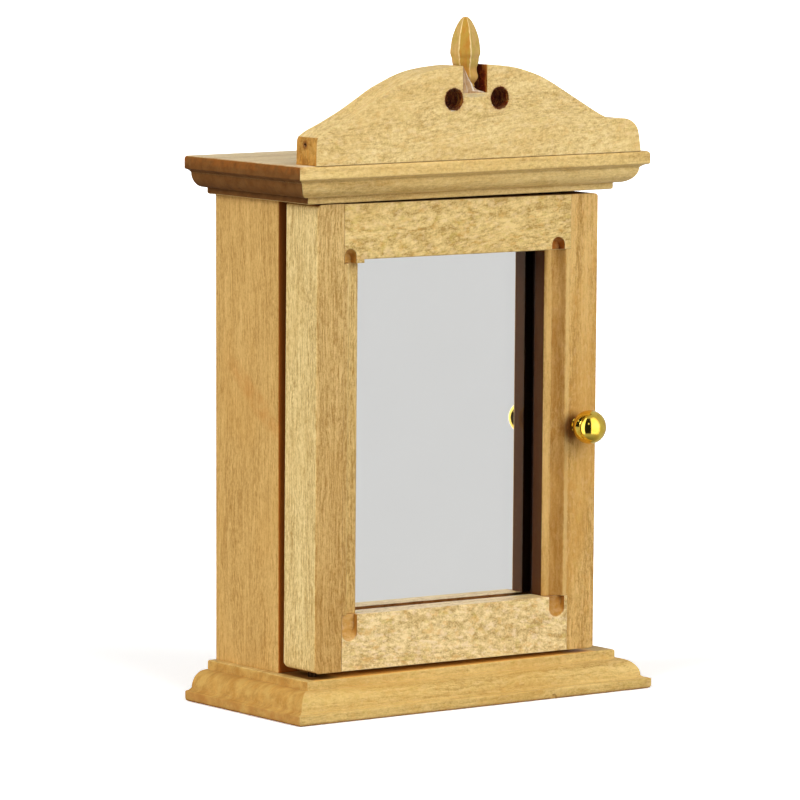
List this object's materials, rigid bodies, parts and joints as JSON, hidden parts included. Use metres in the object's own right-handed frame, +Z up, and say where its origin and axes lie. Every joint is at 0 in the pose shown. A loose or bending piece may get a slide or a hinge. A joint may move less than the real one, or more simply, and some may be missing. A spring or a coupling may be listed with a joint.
{
  "type": "miniature mirror-door cabinet",
  "caption": "Wooden dolls' house cabinet with moulded plinth and cornice, arched pediment with finial, and a hinged mirror door over open shelves.",
  "frame": {"origin": "centre of the plinth's underside", "axes": "+Z up, -Y towards the front of the door, +X to the right seen from the front"},
  "size_m": [0.0446, 0.0213, 0.0703],
  "materials": {
    "board_wood": "satin clear finish",
    "panel_wood": "satin clear finish",
    "stile_wood": "satin clear finish",
    "rail_wood": "satin clear finish",
    "finial_wood": "satin clear finish",
    "dry_glue": "dried translucent adhesive",
    "mirror": "silvered",
    "backing_card": "matt",
    "polished_brass": "polished",
    "brass_wire": "drawn"
  },
  "bodies": {
    "cabinet": {"base_plinth": "board_wood", "cornice": "board_wood", "left_side_panel": "panel_wood", "right_side_panel": "panel_wood", "back_panel": "panel_wood", "lower_shelf": "panel_wood", "upper_shelf": "panel_wood", "pediment": "board_wood", "finial": "finial_wood", "finial_glue": "dry_glue", "bottom_hinge_pin": "brass_wire", "top_hinge_pin": "brass_wire"},
    "door": {"door_left_stile": "stile_wood", "door_right_stile": "stile_wood", "door_top_rail": "rail_wood", "door_bottom_rail": "rail_wood", "mirror_glass": "mirror", "mirror_backing": "backing_card", "knob": "polished_brass"}
  },
  "joints": [
    {"name": "door_hinge", "type": "hinge", "parent": "cabinet", "child": "door", "pos_m": [-0.0169, -0.0048, 0.028], "axis": [0, 0, -1], "range_deg": [0, 175]}
  ]
}
